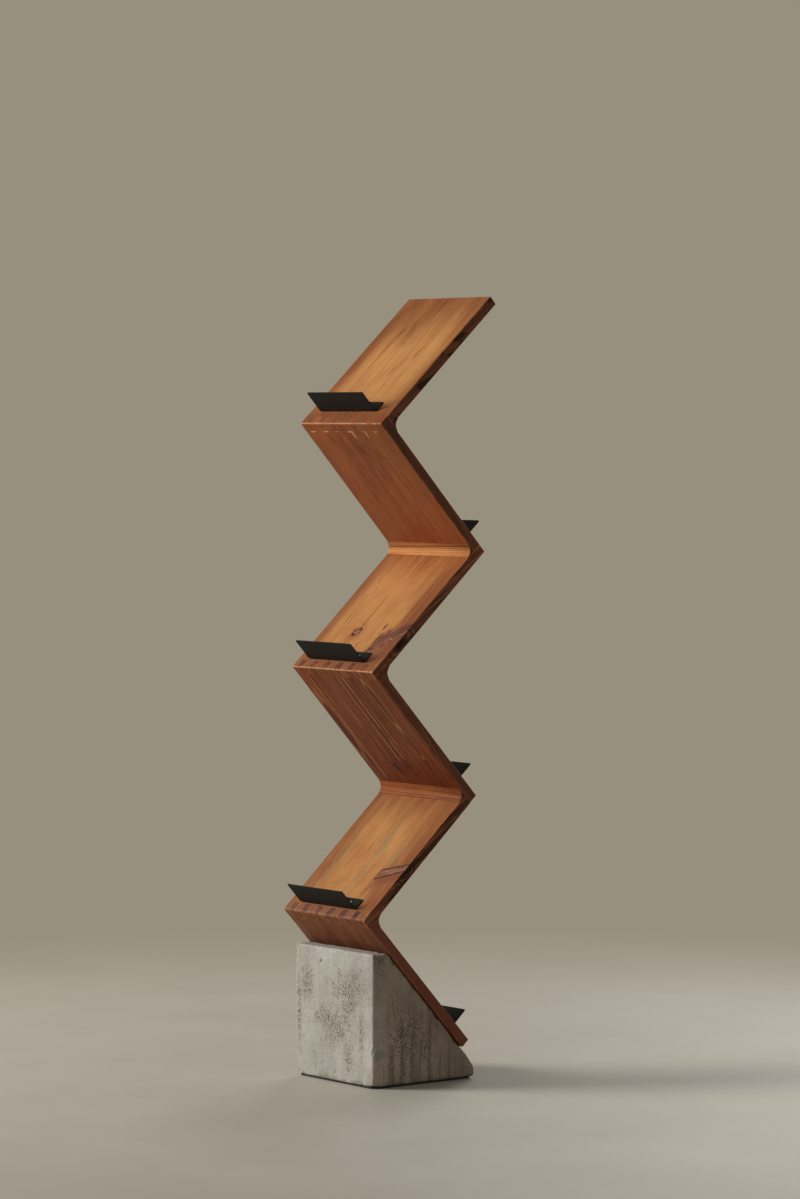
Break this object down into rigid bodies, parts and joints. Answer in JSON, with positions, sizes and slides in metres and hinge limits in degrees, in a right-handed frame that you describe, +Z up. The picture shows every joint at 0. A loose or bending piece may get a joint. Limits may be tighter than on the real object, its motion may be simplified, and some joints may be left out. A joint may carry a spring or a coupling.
{
  "type": "magazine shelf",
  "caption": "Free-standing double-faced zigzag magazine shelf: box-jointed wooden boards climbing from a cast concrete wedge, each with a bent black steel holder that keeps a leaning magazine.",
  "frame": {"origin": "on the floor, under the middle of the base's footprint", "axes": "+Z up, +X along the boards' width, front of the shelf towards -Y"},
  "size_m": [0.26, 0.3446, 1.5337],
  "materials": {
    "board_wood": "oiled, satin",
    "cove_wood": "oiled, satin",
    "holder_steel": "matt black powder coat",
    "screw_steel": "bright zinc",
    "fixing_steel": "zinc plated",
    "concrete": "cast, rough",
    "underlay_rubber": "matt"
  },
  "bodies": {
    "root": {"board_1_top": "board_wood", "board_2": "board_wood", "board_3": "board_wood", "board_4": "board_wood", "board_5": "board_wood", "board_6_foot": "board_wood", "cove_strip_1": "cove_wood", "cove_strip_2": "cove_wood", "cove_strip_3": "cove_wood", "cove_strip_4": "cove_wood", "cove_strip_5": "cove_wood", "holder_1": "holder_steel", "holder_2": "holder_steel", "holder_3": "holder_steel", "holder_4": "holder_steel", "holder_5": "holder_steel", "holder_6": "holder_steel", "holder_1_screw_left": "screw_steel", "holder_1_screw_right": "screw_steel", "holder_2_screw_left": "screw_steel", "holder_2_screw_right": "screw_steel", "holder_3_screw_left": "screw_steel", "holder_3_screw_right": "screw_steel", "holder_4_screw_left": "screw_steel", "holder_4_screw_right": "screw_steel", "holder_5_screw_left": "screw_steel", "holder_5_screw_right": "screw_steel", "holder_6_screw_left": "screw_steel", "holder_6_screw_right": "screw_steel", "concrete_base": "concrete", "rubber_underlay": "underlay_rubber", "base_bolt_upper_left": "fixing_steel", "base_bolt_upper_right": "fixing_steel", "base_bolt_lower_left": "fixing_steel", "base_bolt_lower_right": "fixing_steel", "base_sleeve_upper_left": "fixing_steel", "base_sleeve_upper_right": "fixing_steel", "base_sleeve_lower_left": "fixing_steel", "base_sleeve_lower_right": "fixing_steel"}
  },
  "joints": []
}
